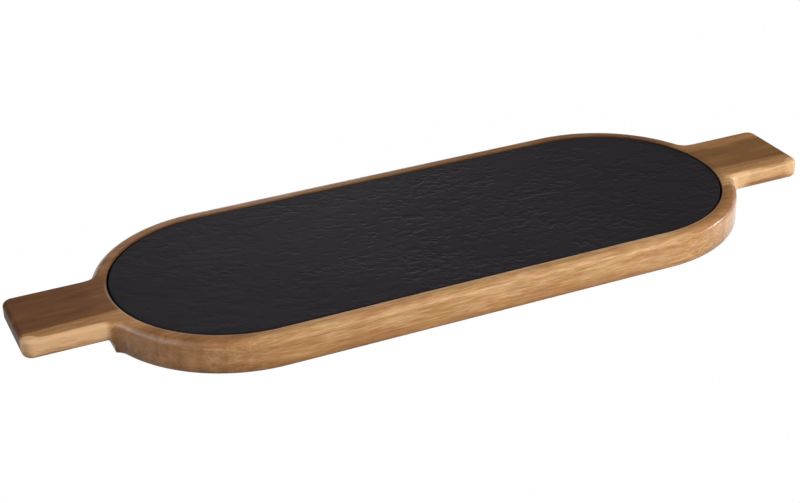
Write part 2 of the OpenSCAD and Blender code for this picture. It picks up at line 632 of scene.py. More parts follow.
    def shade(self, along: Term, across: Term, height: Term) -> Term:
        """Works out how far the shade darkens a place: a band of darker grain, kept to the top face as
        painted shade.

        Args:
            along: Place along the board.
            across: Place across it.
            height: Place over the underside.

        Returns:
            The drop in tone.
        """
        layer = across + (abs(along) - self.shade_x).at_least(0.0) * self.shade_slant
        between = layer.eased(*self.shade_front) * layer.eased(*self.shade_rear, 1.0, 0.0)
        return between * height.eased(*self.shade_z) * self.shade_depth

    def foot(self, along: Term, height: Term) -> Term:
        """Works out how far painted shade darkens a place towards the underside of the board or of a handle.
        """
        grip_shade = abs(along).eased(*self.grip_shade_x) * height.eased(*self.grip_shade_z, self.grip_shade_depth, 0.0)
        return height.eased(0.0, self.low_shade_z, self.low_shade_depth, 0.0) + grip_shade

    def painted_rim_shade(self, along: Term, reach: Term) -> Term:
        """Works out how far painted shade darkens a place on the rim towards the recess at the +X end."""
        near = reach.eased(self.recess_r, self.recess_r + self.rim_shade_w, self.rim_shade_depth, 0.0)
        return near * along.eased(*self.right_rim_x)

    def painted_lip_highlight(self, along: Term, across: Term, reach: Term) -> Term:
        """Works out how far a painted highlight pales a place on the rim, which fades to the back and to the
        +X end.
        """
        near = reach.eased(self.mouth_r, self.mouth_r + self.lip_highlight_w, self.lip_highlight_depth, 0.0)
        return near * across.eased(*self.lip_highlight_y, 1.0, 0.0) * along.eased(*self.right_rim_x, 1.0, self.lip_highlight_end)

    def painted_recess_shade(self, reach: Term, across: Term, height: Term) -> Term:
        """Works out how far painted shade darkens a place: the recess's wall, and its mouth at the back.

        Args:
            reach: How far the place lies from the recess's middle line.
            across: Place across the board.
            height: Place over the underside.

        Returns:
            One on the wall, fading out on the floor at its foot, and zero well outside the recess.
        """
        wall = reach.eased(self.recess_r, self.recess_r + self.recess_shade_edge, 1.0, 0.0)
        wall = wall * reach.eased(*self.recess_shade_foot)
        behind = across.eased(*self.recess_shade_y, 0.0, self.recess_shade_mouth)
        behind = behind * reach.eased(self.mouth_r, self.mouth_r + self.recess_shade_edge, 1.0, 0.0)
        return wall.at_least(behind) * height.eased(*self.floor_z)

    def bed(self, reach: Term, height: Term) -> Term:
        """Tells places in the recess, mouth and all, which have no lacquer: one there and zero elsewhere."""
        inside = reach.eased(self.mouth_r - self.bed_inside, self.mouth_r + self.bed_outside, 1.0, 0.0)
        return inside * height.eased(*self.floor_z)


@dataclass(frozen=True)
class SlateFinish:
    """Riven slate: near black, with a faint sheen where the cleft faces lie flat."""

    name: str = "riven_slate"
    deep: tuple = srgb(30, 26, 31)
    pale: tuple = srgb(41, 37, 43)
    # The cleavage: its turn across the plate, and how fast that changes along it
    lie: float = 0.123
    lie_change: float = 0.53
    # The rough middle: where the plate grows rough from its -X end, and smooth again to its +X end, and how
    # rough both ends still are
    rough_left: tuple = (-0.10, -0.03)
    rough_right: tuple = (0.06, 0.13)
    left_end: float = 0.3
    right_end: float = 0.5
    cloud: Grain = Grain(length=0.06, width=0.03, detail=3.0, shift=2.3)
    patch: Grain = Grain(length=0.034, width=0.024, detail=1.0, shift=6.4)
    calm: Grain = Grain(length=0.02, width=0.012, detail=2.0, shift=3.7)
    chip: Grain = Grain(length=0.0045, width=0.0034, detail=1.0, shift=5.9)
    grit: Grain = Grain(length=0.0011, width=0.0007, detail=3.0, roughness=0.65, shift=9.1)
    # Chips: how far patches gather them, the noise that opens them, and how far calm places flatten them
    gather: float = 0.5
    chip_cut: tuple = (-0.04, 0.24)
    calm_cut: tuple = (-0.15, 0.15)
    calm_share: tuple = (0.55, 1.15)
    # The pale share: what clouds and grit give, and what the rough middle adds as a painted sheen, paler in
    # the middle of the plate
    tint_cut: tuple = (-0.5, 0.5)
    cloud_tint: float = 0.9
    grit_tint: float = 0.6
    tint_depth: float = 0.7
    middle_sheen_tint: float = 0.6
    tint_start: float = -0.3
    # Roughness and what grit adds to it, and the relief of the chips and of the grit in it
    roughness: float = 0.56
    grit_rough: float = 0.16
    relief_depth: float = 0.00024
    grit_relief: float = 0.1

    def material(self) -> bpy.types.Material:
        """Builds the finish: clouds tint the stone, a painted sheen pales its rough middle, and chips along
        its cleavage and grit raise a relief.

        The chips come in patches and lie a little below the face, with flat floors. They are shallower in
        calm places and towards both ends of the plate.

        Returns:
            The material.
        """
        material, shader = new_material(self.name)
        place = shader.place()
        along, across, _ = shader.parts(place)
        run = across + along * self.lie - along * along * self.lie_change
        cleft = shader.node("ShaderNodeCombineXYZ", sockets={"X": along, "Y": run}).outputs["Vector"]
        grains = (self.cloud, self.patch, self.calm, self.grit)
        cloud, patch, still, grit = (shader.grain(place, grain) for grain in grains)
        chip = (shader.grain(cleft, self.chip) + patch * self.gather).eased(*self.chip_cut)
        rough = along.eased(*self.rough_left, self.left_end, 1.0)
        rough = rough * along.eased(*self.rough_right, 1.0, self.right_end)
        calm = still.eased(*self.calm_cut, *self.calm_share)
        tint = (cloud * self.cloud_tint + grit * self.grit_tint).eased(*self.tint_cut)
        # The rough middle adds a painted sheen to the pale share
        share = tint * self.tint_depth + rough * self.middle_sheen_tint + self.tint_start
        shader.surface({
            "Base Color": shader.mixed(share, self.deep, self.pale),
            "Roughness": self.roughness + grit * self.grit_rough,
            "Specular IOR Level": 0.12,
            "Normal": shader.bump((grit * self.grit_relief - chip) * rough * calm, self.relief_depth),
        })
        return material


@dataclass(frozen=True)
class SiliconeFinish:
    """Milky silicone, matt, with a little dust."""

    name: str = "milky_silicone"
    clean: tuple = srgb(222, 221, 214)
    dusty: tuple = srgb(203, 200, 190)
    dust: Grain = Grain(length=0.002, width=0.002, detail=4.0, shift=1.3)
    dust_cut: tuple = (-0.2, 0.25)
    roughness: float = 0.5
    dust_rough: float = 0.2
    relief_depth: float = 0.00004

    def material(self) -> bpy.types.Material:
        """Builds the finish: dust dulls and darkens the silicone in patches.

        Returns:
            The material.
        """
        material, shader = new_material(self.name)
        dust = shader.grain(shader.place(), self.dust)
        share = dust.eased(*self.dust_cut)
        shader.surface({
            "Base Color": shader.mixed(share, self.clean, self.dusty),
            "Roughness": self.roughness + share * self.dust_rough,
            "Normal": shader.bump(dust, self.relief_depth),
        })
        return material


def spokes(plan: np.ndarray, hubs: np.ndarray) -> tuple[np.ndarray, np.ndarray]:
    """Splits plan points into a reach from their hub and a direction.

    Args:
        plan: Plan points.
        hubs: The point that each one's spoke starts from.

    Returns:
        The reaches, as a column, and the unit directions.
    """
    offset = plan - hubs
    reach = np.linalg.norm(offset, axis=-1, keepdims=True)
    return reach, offset / reach


def lifted(plan: np.ndarray, height: np.ndarray | float) -> np.ndarray:
    """Gives plan points a height, one for all of them or a column of heights."""
    column = np.broadcast_to(height, (*plan.shape[:-1], 1))
    return np.concatenate([plan, column], axis=-1)


def in_rows(values: np.ndarray | tuple) -> np.ndarray:
    """Sets numbers one below another, so that each acts on a whole ring of points."""
    return np.asarray(values)[:, None, None]


def eased_step(value: np.ndarray) -> np.ndarray:
    """Runs from 0 to 1 with level ends as the value does, and stays level outside."""
    share = np.clip(value, 0.0, 1.0)
    return share * share * (3.0 - 2.0 * share)


def ring_mesh(name: str, rows: np.ndarray) -> bpy.types.Mesh:
    """Makes a closed mesh of rings of points.

    Quads join each ring to the next, and a ring's last point to its first. Points that lie on one
    another are merged, which closes the spines where the first and last ring fold flat.

    Args:
        name: The mesh's name.
        rows: Rings by points by three.

    Returns:
        The mesh, with its faces outwards.
    """
    index = np.arange(rows.shape[0] * rows.shape[1], dtype=np.int32).reshape(rows.shape[:2])
    turned = np.roll(index, -1, axis=1)
    quads = np.stack([index[:-1], turned[:-1], turned[1:], index[1:]], axis=-1).reshape(-1, 4)
    mesh = bpy.data.meshes.new(name)
    mesh.vertices.add(index.size)
    mesh.vertices.foreach_set("co", rows.astype(np.float32).ravel())
    mesh.loops.add(quads.size)
    mesh.loops.foreach_set("vertex_index", quads.ravel())
    mesh.polygons.add(len(quads))
    mesh.polygons.foreach_set("loop_start", np.arange(0, quads.size, 4, dtype=np.int32))
    mesh.update(calc_edges=True)

    shape = bmesh.new()
    shape.from_mesh(mesh)
    bmesh.ops.remove_doubles(shape, verts=shape.verts[:], dist=WELD)
    bmesh.ops.recalc_face_normals(shape, faces=shape.faces[:])
    shape.to_mesh(mesh)
    shape.free()
    return mesh


def smooth(mesh: bpy.types.Mesh, sharp_from: float) -> None:
    """Shades a mesh smooth, apart from edges that turn more than an angle in degrees."""
    mesh.shade_smooth()
    mesh.set_sharp_from_angle(angle=math.radians(sharp_from))


def mark_end_grain(mesh: bpy.types.Mesh) -> None:
    """Stores how squarely a surface cuts across the grain: the size of its normal's part along X.

    Args:
        mesh: The mesh, which gets the measure as an attribute of its points.
    """
    normals = np.empty(3 * len(mesh.vertices), dtype=np.float32)
    mesh.vertex_normals.foreach_get("vector", normals)
    layer = mesh.attributes.new(END_GRAIN, "FLOAT", "POINT")
    layer.data.foreach_set("value", np.abs(normals[::3]))


def add_object(name: str, data: bpy.types.ID) -> bpy.types.Object:
    """Puts a mesh, a lamp or a camera into the scene.

    Args:
        name: The object's name.
        data: The mesh, the lamp or the camera.

    Returns:
        The object.
    """
    made = bpy.data.objects.new(name, data)
    bpy.context.scene.collection.objects.link(made)
    return made


def add_piece(
    name: str, mesh: bpy.types.Mesh, material: bpy.types.Material, body: Body, node: str
) -> bpy.types.Object:
    """Puts a mesh into the scene as the piece that stands for a solid.

    Args:
        name: The piece's name.
        mesh: Its mesh, in place.
        material: Its finish.
        body: The body that it rides on.
        node: The solid that it stands for.

    Returns:
        The piece.
    """
    mesh.materials.append(material)
    piece = add_object(name, mesh)
    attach(piece, body.value)
    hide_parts(node)
    LOG.info("%s rides %s, %d faces", name, body.value, len(mesh.polygons))
    return piece


@dataclass(frozen=True)
class ValueNoise:
    """Seeded noise on a lattice: a value blends the four corners of its cell with eased weights."""

    seed: int
    # A cell's length and width, and how many cells there are each way before they repeat
    length: float
    width: float = 1.0
    cells: int = 256

    def __call__(self, along: np.ndarray, across: np.ndarray) -> np.ndarray:
        """Looks the noise up.

        Args:
            along: Places along the cells' length.
            across: Places across it.

        Returns:
            Values between -1 and 1.
        """
        lattice = np.random.default_rng(self.seed).uniform(-1.0, 1.0, (self.cells, self.cells))
        u, v = along / self.length, across / self.width
        low_u, low_v = np.floor(u).astype(int), np.floor(v).astype(int)
        share_u, share_v = eased_step(u - low_u), eased_step(v - low_v)
        u0, u1 = low_u % self.cells, (low_u + 1) % self.cells
        v0, v1 = low_v % self.cells, (low_v + 1) % self.cells
        near = lattice[u0, v0] * (1 - share_u) + lattice[u1, v0] * share_u
        far = lattice[u0, v1] * (1 - share_u) + lattice[u1, v1] * share_u
        return near * (1 - share_v) + far * share_v


@dataclass(frozen=True)
class Outline:
    """A closed plan outline, anticlockwise: its points, their outward normals and their hubs."""

    points: np.ndarray
    normals: np.ndarray
    hubs: np.ndarray

    @staticmethod
    def line(start: tuple, end: tuple, count: int) -> tuple[np.ndarray, np.ndarray]:
        """A straight stretch, without its end point.

        Args:
            start: Where it starts.
            end: Where it ends.
            count: How many points it has.

        Returns:
            Its points and outward normals, which lie to the right of its run.
        """
        share = np.linspace(0.0, 1.0, count, endpoint=False)[:, None]
        run = np.subtract(end, start)
        points = np.asarray(start) + share * run
        normal = np.array([run[1], -run[0]]) / np.linalg.norm(run)
        return points, np.broadcast_to(normal, points.shape)

    @staticmethod
    def arc(
        centre: tuple, radius: float, start: float, end: float, count: int, hollow: bool = False
    ) -> tuple[np.ndarray, np.ndarray]:
        """A round stretch, without its end point.

        Args:
            centre: The arc's centre.
            radius: Its radius.
            start: The angle where it starts, in radians.
            end: The angle where it ends.
            count: How many points it has.
            hollow: Whether the wood lies outside the arc.

        Returns:
            Its points and outward normals.
        """
        turn = np.linspace(start, end, count, endpoint=False)
        radial = np.column_stack([np.cos(turn), np.sin(turn)])
        return np.asarray(centre) + radius * radial, -radial if hollow else radial

    @classmethod
    def of_halves(cls, stretches: tuple, hub_x: float) -> "Outline":
        """Joins one half of an outline to the same half turned half round the middle.

        Args:
            stretches: The stretches of the half, in order.
            hub_x: How far from the middle a hub may lie. The hubs lie on the middle line, straight in from
                the points.

        Returns:
            The outline.
        """
        half_points, half_normals = (np.concatenate(arrays) for arrays in zip(*stretches))
        points = np.concatenate([half_points, -half_points])
        normals = np.concatenate([half_normals, -half_normals])
        hubs = np.column_stack([np.clip(points[:, 0], -hub_x, hub_x), np.zeros(len(points))])
        return cls(points, normals, hubs)


@dataclass(frozen=True)
class Board:
    """The glued-up wooden board: three staves shaped as one, with a recess for the slate."""

    # From the solids
    end_r: float
    thickness: float
    handle_end_x: float
    front_glue_y: float
    rear_glue_y: float
    recess_z: float
    # As the solids have them
    arc_x: float = 0.110
    top_edge_r: float = 0.004
    bottom_edge_r: float = 0.0025
    handle_half_w: float = 0.0245
    handle_t: float = 0.0107
    handle_corner_r: float = 0.0055
    handle_upper_edge_r: float = 0.0025
    handle_lower_edge_r: float = 0.003
    root_fillet_r: float = 0.008
    gap_inset: float = 0.002
    gap_cove_r: float = 0.003
    rim_w: float = 0.0085
    recess_arris: float = 0.0008
    # Of the surface alone: the round at the recess's foot, the inset of the rings that hold a flat, how the
    # heel under a handle turns, and how finely all is divided
    recess_foot_r: float = 0.0006
    support: float = 0.0003
    heel_r: float = 0.0015
    heel_lead: float = 0.4
    side_steps: int = 24
    end_steps: int = 40
    bend_steps: int = 14
    handle_steps: int = 12
    round_steps: int = 8
    floor_rows: int = 5
    flat_rows: int = 4
    base_rows: int = 4
    wall_shares: tuple = (0.07, 0.5, 0.93)
    under_shares: tuple = (0.1, 0.5, 0.9)
    sharp_from: float = 40.0

    @classmethod
    def from_frame(cls) -> "Board":
        """Takes the main sizes from the solids.

        Returns:
            The board.
        """
        high = cad_box[1]
        centre_low, centre_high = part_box("centre_stave")
        pads_low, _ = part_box("slate_pads")
        return cls(high.y, high.z, high.x, centre_low.y, centre_high.y, pads_low.z)

    @property
    def hollow_z(self) -> float:
        """Height where the hollow under a handle springs from the end of the gap."""
        return self.thickness - self.handle_t - self.gap_cove_r

    def gap_reach(self, aim: np.ndarray) -> np.ndarray:
        """Reach along spokes to the straight end of the gap under a handle; very long for one beside it."""
        return (self.end_r - self.gap_inset) / np.maximum(np.abs(aim[..., :1]), WELD)

    def outline(self) -> Outline:
        """Works out the plan outline.

        Half of it runs from the middle of the front to the middle of the back: straight side, round
        end, hollow fillet, handle side, corner, handle end, and the same back again. The other half is
        the first one turned half round the middle.

        Returns:
            The outline.
        """
        end_x, half_w, corner_r = self.handle_end_x, self.handle_half_w, self.handle_corner_r
        fillet_r, bends, rows = self.root_fillet_r, self.bend_steps, self.handle_steps
        fillet_y = half_w + fillet_r
        fillet_reach = math.sqrt((self.end_r + fillet_r) ** 2 - fillet_y**2)
        fillet_x = self.arc_x + fillet_reach
        root = math.atan2(fillet_y, fillet_reach)
        corner_x, corner_y = end_x - corner_r, half_w - corner_r
        middle, side, end = (self.arc_x, 0.0), self.end_r, self.arc_x
        stretches = (
            Outline.line((0.0, -side), (end, -side), self.side_steps),
            Outline.arc(middle, side, -QUARTER, -root, self.end_steps),
            Outline.arc((fillet_x, -fillet_y), fillet_r, math.pi - root, QUARTER, bends, hollow=True),
            Outline.line((fillet_x, -half_w), (corner_x, -half_w), rows),
            Outline.arc((corner_x, -corner_y), corner_r, -QUARTER, 0.0, bends),
            Outline.line((end_x, -corner_y), (end_x, corner_y), rows),
            Outline.arc((corner_x, corner_y), corner_r, 0.0, QUARTER, bends),
            Outline.line((corner_x, half_w), (fillet_x, half_w), rows),
            Outline.arc((fillet_x, fillet_y), fillet_r, -QUARTER, root - math.pi, bends, hollow=True),
            Outline.arc(middle, side, root, QUARTER, self.end_steps),
            Outline.line((end, side), (0.0, side), self.side_steps),
        )
        return Outline.of_halves(stretches, end)

    def under_height(self, past_gap: np.ndarray) -> np.ndarray:
        """Height of the lower edge past the gap's end: it rises round the hollow, then runs level."""
        short = np.clip(self.gap_cove_r - past_gap, 0.0, self.gap_cove_r)
        return self.hollow_z + np.sqrt(self.gap_cove_r**2 - short**2)

    def upper_radius(self, reach: np.ndarray) -> np.ndarray:
        """Radius of the upper round-over by the reach from the hub: it eases off along the root."""
        share = eased_step((reach - self.end_r) / (self.root_fillet_r / 2))
        return self.top_edge_r + share * (self.handle_upper_edge_r - self.top_edge_r)

    def rings(self) -> np.ndarray:
        """Works out the whole surface as rings round the board.

        The rings run from the spine of the recess floor out to its wall, up and over the eased mouth,
        across the flat top, round the top edge, down the side, round the lower edge, and back under the
        handle, the hollow and the underside to the spine below.

        Returns:
            Rings by points by three.
        """
        plan = self.outline()
        points, normals, hubs = plan.points, plan.normals, plan.hubs
        side_reach, side_aim = spokes(points, hubs)
        top, edge_r, rim_r = self.thickness, self.upper_radius(side_reach), self.end_r - self.rim_w
        arris, foot, floor_z = self.recess_arris, self.recess_foot_r, self.recess_z
        quarter = in_rows(np.linspace(0.0, QUARTER, self.round_steps + 1))
        swing, rise = 1.0 - np.cos(quarter), np.sin(quarter)

        inner_reach, aim = spokes(points - edge_r * normals, hubs)
        floor_share = in_rows(np.linspace(0.0, 1.0, self.floor_rows))
        floor = lifted(hubs + floor_share * (rim_r - 2 * foot) * aim, floor_z)
        foot_round = lifted(hubs + (rim_r - foot + foot * rise) * aim, floor_z + foot * swing)
        mouth = lifted(hubs + (rim_r + arris * swing) * aim, top - arris + arris * rise)
        start, end = rim_r + arris + self.support, inner_reach - self.support
        flat_share = in_rows(np.linspace(0.0, 1.0, self.flat_rows))
        flat = lifted(hubs + (start + flat_share * (end - start)) * aim, top)
        top_round = lifted(points - edge_r * (1.0 - rise) * normals, top - edge_r * swing)

        hollow_r = self.gap_cove_r
        past_gap = side_reach - self.gap_reach(side_aim)
        lower_r = self.handle_lower_edge_r * eased_step(past_gap / hollow_r)
        lower_plan = points - lower_r * swing * normals
        lower_reach, lower_aim = spokes(lower_plan, hubs)
        lower_z = self.under_height(lower_reach - self.gap_reach(lower_aim))
        lower_round = lifted(lower_plan, lower_z + lower_r * (1.0 - rise))
        wall_z = top - edge_r + in_rows(self.wall_shares) * (lower_round[:1, :, 2:] - top + edge_r)
        wall = lifted(np.broadcast_to(points, (len(wall_z), *points.shape)), wall_z)

        under_reach, under_aim = spokes(lower_plan[-1], hubs)
        gap_reach = self.gap_reach(under_aim)
        hollow_reach = np.minimum(under_reach, gap_reach + hollow_r)
        under_run = under_reach + in_rows(self.under_shares) * (hollow_reach - under_reach)
        under = lifted(hubs + under_run * under_aim, self.under_height(under_reach - gap_reach))
        turn = np.arccos(np.clip(1.0 - (hollow_reach - gap_reach) / hollow_r, -1.0, 1.0))
        turn = turn * in_rows(np.linspace(1.0, 0.0, self.round_steps + 1))
        base_reach = np.minimum(under_reach, gap_reach)
        hollow_plan = hubs + (base_reach + hollow_r * (1.0 - np.cos(turn))) * under_aim
        hollow = lifted(hollow_plan, self.hollow_z + hollow_r * np.sin(turn))

        heel = eased_step(past_gap / self.heel_r + self.heel_lead)
        gap_aim = np.sign(points) * np.array([1.0, 0.0])
        _, heel_aim = spokes(normals + heel * (gap_aim - normals), np.zeros_like(hubs))
        base_r = self.bottom_edge_r
        base_plan = hubs + base_reach * under_aim - base_r * swing * heel_aim
        base_round = lifted(base_plan, base_r * (1.0 - rise))
        inner_reach, inner_aim = spokes(base_plan[-1], hubs)
        base_share = in_rows(np.linspace(1.0, 0.0, self.base_rows))
        base = lifted(hubs + base_share * (inner_reach - self.support) * inner_aim, 0.0)
        upper = (floor, foot_round, mouth, flat, top_round, wall)
        lower = (lower_round, under, hollow, base_round, base)
        return np.concatenate(upper + lower)

    @staticmethod
    def cut(shape: bmesh.types.BMesh, glue_y: float, keep_back: bool) -> None:
        """Saws a closed shape along a glue line and closes the cut.

        Args:
            shape: The shape.
            glue_y: Where the glue line lies.
            keep_back: Whether the part behind the line stays.
        """
        everything = [*shape.verts, *shape.edges, *shape.faces]
        made = bmesh.ops.bisect_plane(
            shape,
            geom=everything,
            dist=WELD / 10,
            plane_co=(0.0, glue_y, 0.0),
            plane_no=(0.0, 1.0, 0.0),
            clear_inner=keep_back,
            clear_outer=not keep_back,
        )
        edges = [part for part in made["geom_cut"] if isinstance(part, bmesh.types.BMEdge)]
        bmesh.ops.edgeloop_fill(shape, edges=edges)

    def stave_mesh(self, whole: bpy.types.Mesh, name: str, low_y: float, high_y: float) -> bpy.types.Mesh:
        """Cuts one stave out of the board.

        Args:
            whole: The whole board.
            name: The stave mesh's name.
            low_y: The glue line in front of it, or the board's front.
            high_y: The glue line behind it, or the board's back.

        Returns:
            The stave.
        """
        shape = bmesh.new()
        shape.from_mesh(whole)
        if low_y > -self.end_r:
            self.cut(shape, low_y, keep_back=True)
        if high_y < self.end_r:
            self.cut(shape, high_y, keep_back=False)
        bmesh.ops.recalc_face_normals(shape, faces=shape.faces[:])
        mesh = bpy.data.meshes.new(name)
        shape.to_mesh(mesh)
        shape.free()
        smooth(mesh, self.sharp_from)
        return mesh

    def build(self) -> None:
        """Makes the three staves, each with its own acacia."""
        whole = ring_mesh("whole_board", self.rings())
        mark_end_grain(whole)
        front, centre, rear = self.finishes()
        staves = (
            ("front", front, Slot.FRONT, -self.end_r, self.front_glue_y),
            ("centre", centre, Slot.CENTRE, self.front_glue_y, self.rear_glue_y),
            ("rear", rear, Slot.REAR, self.rear_glue_y, self.end_r),
        )
        for name, finish, slot, low_y, high_y in staves:
            mesh = self.stave_mesh(whole, f"{name}_stave_wood", low_y, high_y)
            add_piece(f"acacia_{name}_stave", mesh, finish.material(), Body.BOARD, f"{name}_stave")
        bpy.data.meshes.remove(whole)

    @staticmethod
    def finishes() -> tuple[AcaciaFinish, AcaciaFinish, AcaciaFinish]:
        """The acacia of the staves.

        Returns:
            The finishes of the front, centre and rear staves.
        """
        front = AcaciaFinish(
            "honey_acacia",
            seed=4.2,
            tone=0.83,
            tone_rise=0.035,
            heart_depth=(0.36, -0.02),
            sap_lift=(0.35, 0.06),
            sap_and_glint_ends=(0.06, 0.3),
            shade_depth=0.22,
        )
        centre = AcaciaFinish(
            "heart_acacia",
            seed=21.7,
            tone=0.76,
            tone_rise=-0.01,
            heart_depth=(0.33, 0.21),
            olive=0.5,
            streak_depth=0.22,
            fibre_depth=0.3,
            lacquer=0.24,
        )
        rear = AcaciaFinish("brown_acacia", seed=37.5, tone=0.65, tone_rise=-0.06, olive=0.25, lacquer=0.85)
        return front, centre, rear


@dataclass(frozen=True)
class SlatePlate:
    """The loose slate: a riven face, a nibbled edge and a flat back."""

    arc_x: float
    half_w: float
    low_z: float
    high_z: float
    # How far its edge is rounded, how deep it is nibbled, how far the face's mean level lies below its
    # highest, and how finely all is divided
    edge: float = 0.0005
    nibble: float = 0.0001
    face_drop: float = 0.0001
    row_step: float = 0.00076
    side_steps: int = 260
    end_steps: int = 208
    brow_steps: int = 4
    back_rows: int = 5
    sharp_from: float = 50.0
    long_nibble: ValueNoise = ValueNoise(21, 5.0)
    short_nibble: ValueNoise = ValueNoise(22, 1.7)
    # The riven face, in millimetres: the cleavage's turn across the plate and how fast that changes, then
    # noises along and across it and how high they stand
    lie: float = 0.123
    lie_change: float = 0.00053
    bend: ValueNoise = ValueNoise(12, 22, 12)
    bend_w: float = 1.6
    swell: ValueNoise = ValueNoise(11, 64, 27)
    swell_h: float = 0.03
    ripple: ValueNoise = ValueNoise(16, 5, 1.9)
    ripple_h: float = 0.008
    # Flakes: large ones and the share of small ones, their steps per unit of noise, how much of a step is
    # tread and how much riser, and the patches where they are as low as a share
    flake: ValueNoise = ValueNoise(13, 10, 4.2)
    splinter: ValueNoise = ValueNoise(14, 4.6, 2.1)
    splinter_share: float = 0.5
    flake_h: float = 0.05
    steps: float = 2.0
    tread: float = 0.68
    riser: float = 0.32
    patch: ValueNoise = ValueNoise(15, 33, 21)
    patch_mid: float = 0.5
    patch_slope: float = 0.9
    patch_low: float = 0.2

    @classmethod
    def from_frame(cls, arc_x: float) -> "SlatePlate":
        """Takes the plate's sizes from its solid."""
        low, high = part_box("slate_plate")
        return cls(arc_x, high.y, low.z, high.z)

    def rim(self) -> Outline:
        """The plate's outline: two straight sides and two half-round ends.

        Returns:
            The outline.
        """
        side, end = self.half_w, self.arc_x
        half = (
            Outline.line((-end, -side), (end, -side), self.side_steps),
            Outline.arc((end, 0.0), side, -QUARTER, QUARTER, self.end_steps),
        )
        return Outline.of_halves(half, end)

    def riven(self, plan: np.ndarray) -> np.ndarray:
        """Height of the riven face over its mean level.

        The cleavage runs along curves that turn a little across the plate. Along them, a broad swell,
        short stepped flakes that thin out in smooth patches, and fine ripples add up. A flake's step
        is a stair of the noise whose risers are eased.

        Args:
            plan: Plan points.

        Returns:
            The heights, as a column.
        """
        x, y = plan[..., 0] / MILLIMETRE, plan[..., 1] / MILLIMETRE
        v = y + self.lie * x - self.lie_change * x * x
        swell = self.swell(x, v)
        v = v + self.bend_w * self.bend(x, v)
        stairs = self.steps * (self.flake(x, v) + self.splinter_share * self.splinter(x, v))
        level = np.floor(stairs)
        stepped = (level + eased_step((stairs - level - self.tread) / self.riser)) / self.steps
        rough = eased_step(self.patch_mid + self.patch_slope * self.patch(x, y))
        stepped = stepped * (self.patch_low + (1.0 - self.patch_low) * rough)
        height = self.swell_h * swell + self.flake_h * stepped + self.ripple_h * self.ripple(x, v)
        return MILLIMETRE * height[..., None]

    def rings(self) -> np.ndarray:
        """Works out the plate as rings: the riven face from its spine, the edge, the side and the back.

        Returns:
            Rings by points by three.
        """
        plan = self.rim()
        hubs = plan.hubs
        _, aim = spokes(plan.points, hubs)
        run = np.arange(len(hubs))
        still = np.zeros_like(run)
        nibble = self.nibble * (self.long_nibble(run, still) + self.short_nibble(run, still))
        full = self.half_w - self.nibble + nibble[:, None] / 2
        face_r = full - self.edge
        face_share = in_rows(np.linspace(0.0, 1.0, math.ceil(self.half_w / self.row_step)))
        face_plan = hubs + face_share * face_r * aim
        face = lifted(face_plan, self.high_z - self.face_drop + self.riven(face_plan))
        turn = in_rows(np.linspace(0.0, QUARTER, self.brow_steps)[1:])
        brow_plan = hubs + (face_r + self.edge * np.sin(turn)) * aim
        brow = lifted(brow_plan, face[-1:, :, 2:] - self.edge * (1.0 - np.cos(turn)))
        foot = lifted(hubs + full * aim, self.low_z + self.edge)[None]
        back_share = in_rows(np.linspace(1.0, 0.0, self.back_rows))
        back = lifted(hubs + back_share * face_r * aim, self.low_z)
        return np.concatenate([face, brow, foot, back])

    def build(self) -> None:
        """Makes the plate."""
        mesh = ring_mesh("slate_stone", self.rings())
        smooth(mesh, self.sharp_from)
        stone = SlateFinish().material()
        add_piece("riven_slate_plate", mesh, stone, Body.SLATE, "slate_plate")


@dataclass(frozen=True)
class Pads:
    """The silicone pads under the slate: low discs with a rounded brow."""

    arc_x: float
    row_y: float
    radius: float
    low_z: float
    high_z: float
    columns: int = 3
    brow_r: float = 0.0005
    brow_steps: int = 6
    around: int = 40
    sharp_from: float = 40.0

    @classmethod
    def from_frame(cls, arc_x: float) -> "Pads":
        """Takes the pads' places and sizes from their solids.

        Args:
            arc_x: Place of the outer pads' centres along the board.

        Returns:
            The pads.
        """
        low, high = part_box("slate_pads")
        radius = high.x - arc_x
        return cls(arc_x, high.y - radius, radius, low.z, high.z)

    def build(self) -> None:
        """Makes all the pads as one mesh: a profile of reach and height, turned about each centre."""
        turn = np.linspace(0.0, QUARTER, self.brow_steps)
        brow_reach = self.radius - self.brow_r * (1.0 - np.cos(turn))
        brow_z = self.high_z - self.brow_r * (1.0 - np.sin(turn))
        reach = np.concatenate([[0.0, self.radius], brow_reach, [0.0]])
        height = np.concatenate([[self.low_z, self.low_z], brow_z, [self.high_z]])
        angle = np.linspace(0.0, 2 * math.pi, self.around, endpoint=False)
        ring = np.column_stack([np.cos(angle), np.sin(angle)])
        disc = lifted(in_rows(reach) * ring, in_rows(height))
        shape = bmesh.new()
        for x in np.linspace(-self.arc_x, self.arc_x, self.columns):
            for y in (-self.row_y, self.row_y):
                part = ring_mesh("pad_disc", disc + np.array([x, y, 0.0]))
                shape.from_mesh(part)
                bpy.data.meshes.remove(part)
        mesh = bpy.data.meshes.new("pad_discs")
        shape.to_mesh(mesh)
        shape.free()
        smooth(mesh, self.sharp_from)
        silicone = SiliconeFinish().material()
        add_piece("silicone_pads", mesh, silicone, Body.BOARD, "slate_pads")


@dataclass(frozen=True)
class Lamp:
    """A soft oblong lamp that faces the board."""

    name: str
    azimuth: float
    elevation: float
    width: float
    height: float
    watts: float
    distance: float = 2.0
    # Whether it lights matt surfaces, and whether gloss mirrors it
    on_matt: bool = True
    on_gloss: bool = True

    def build(self, target: Vector) -> None:
        """Hangs the lamp so that it faces a point.

        Args:
            target: The point.
        """
        back = direction(self.azimuth, self.elevation)
        data = bpy.data.lights.new(self.name, "AREA")
        data.energy = self.watts
        data.shape = "RECTANGLE"
        data.size, data.size_y = self.width, self.height
        lamp = add_object(self.name, data)
        lamp.location = target + back * self.distance
        lamp.rotation_euler = (-back).to_track_quat("-Z", "Y").to_euler()
        lamp.visible_diffuse, lamp.visible_glossy = self.on_matt, self.on_gloss


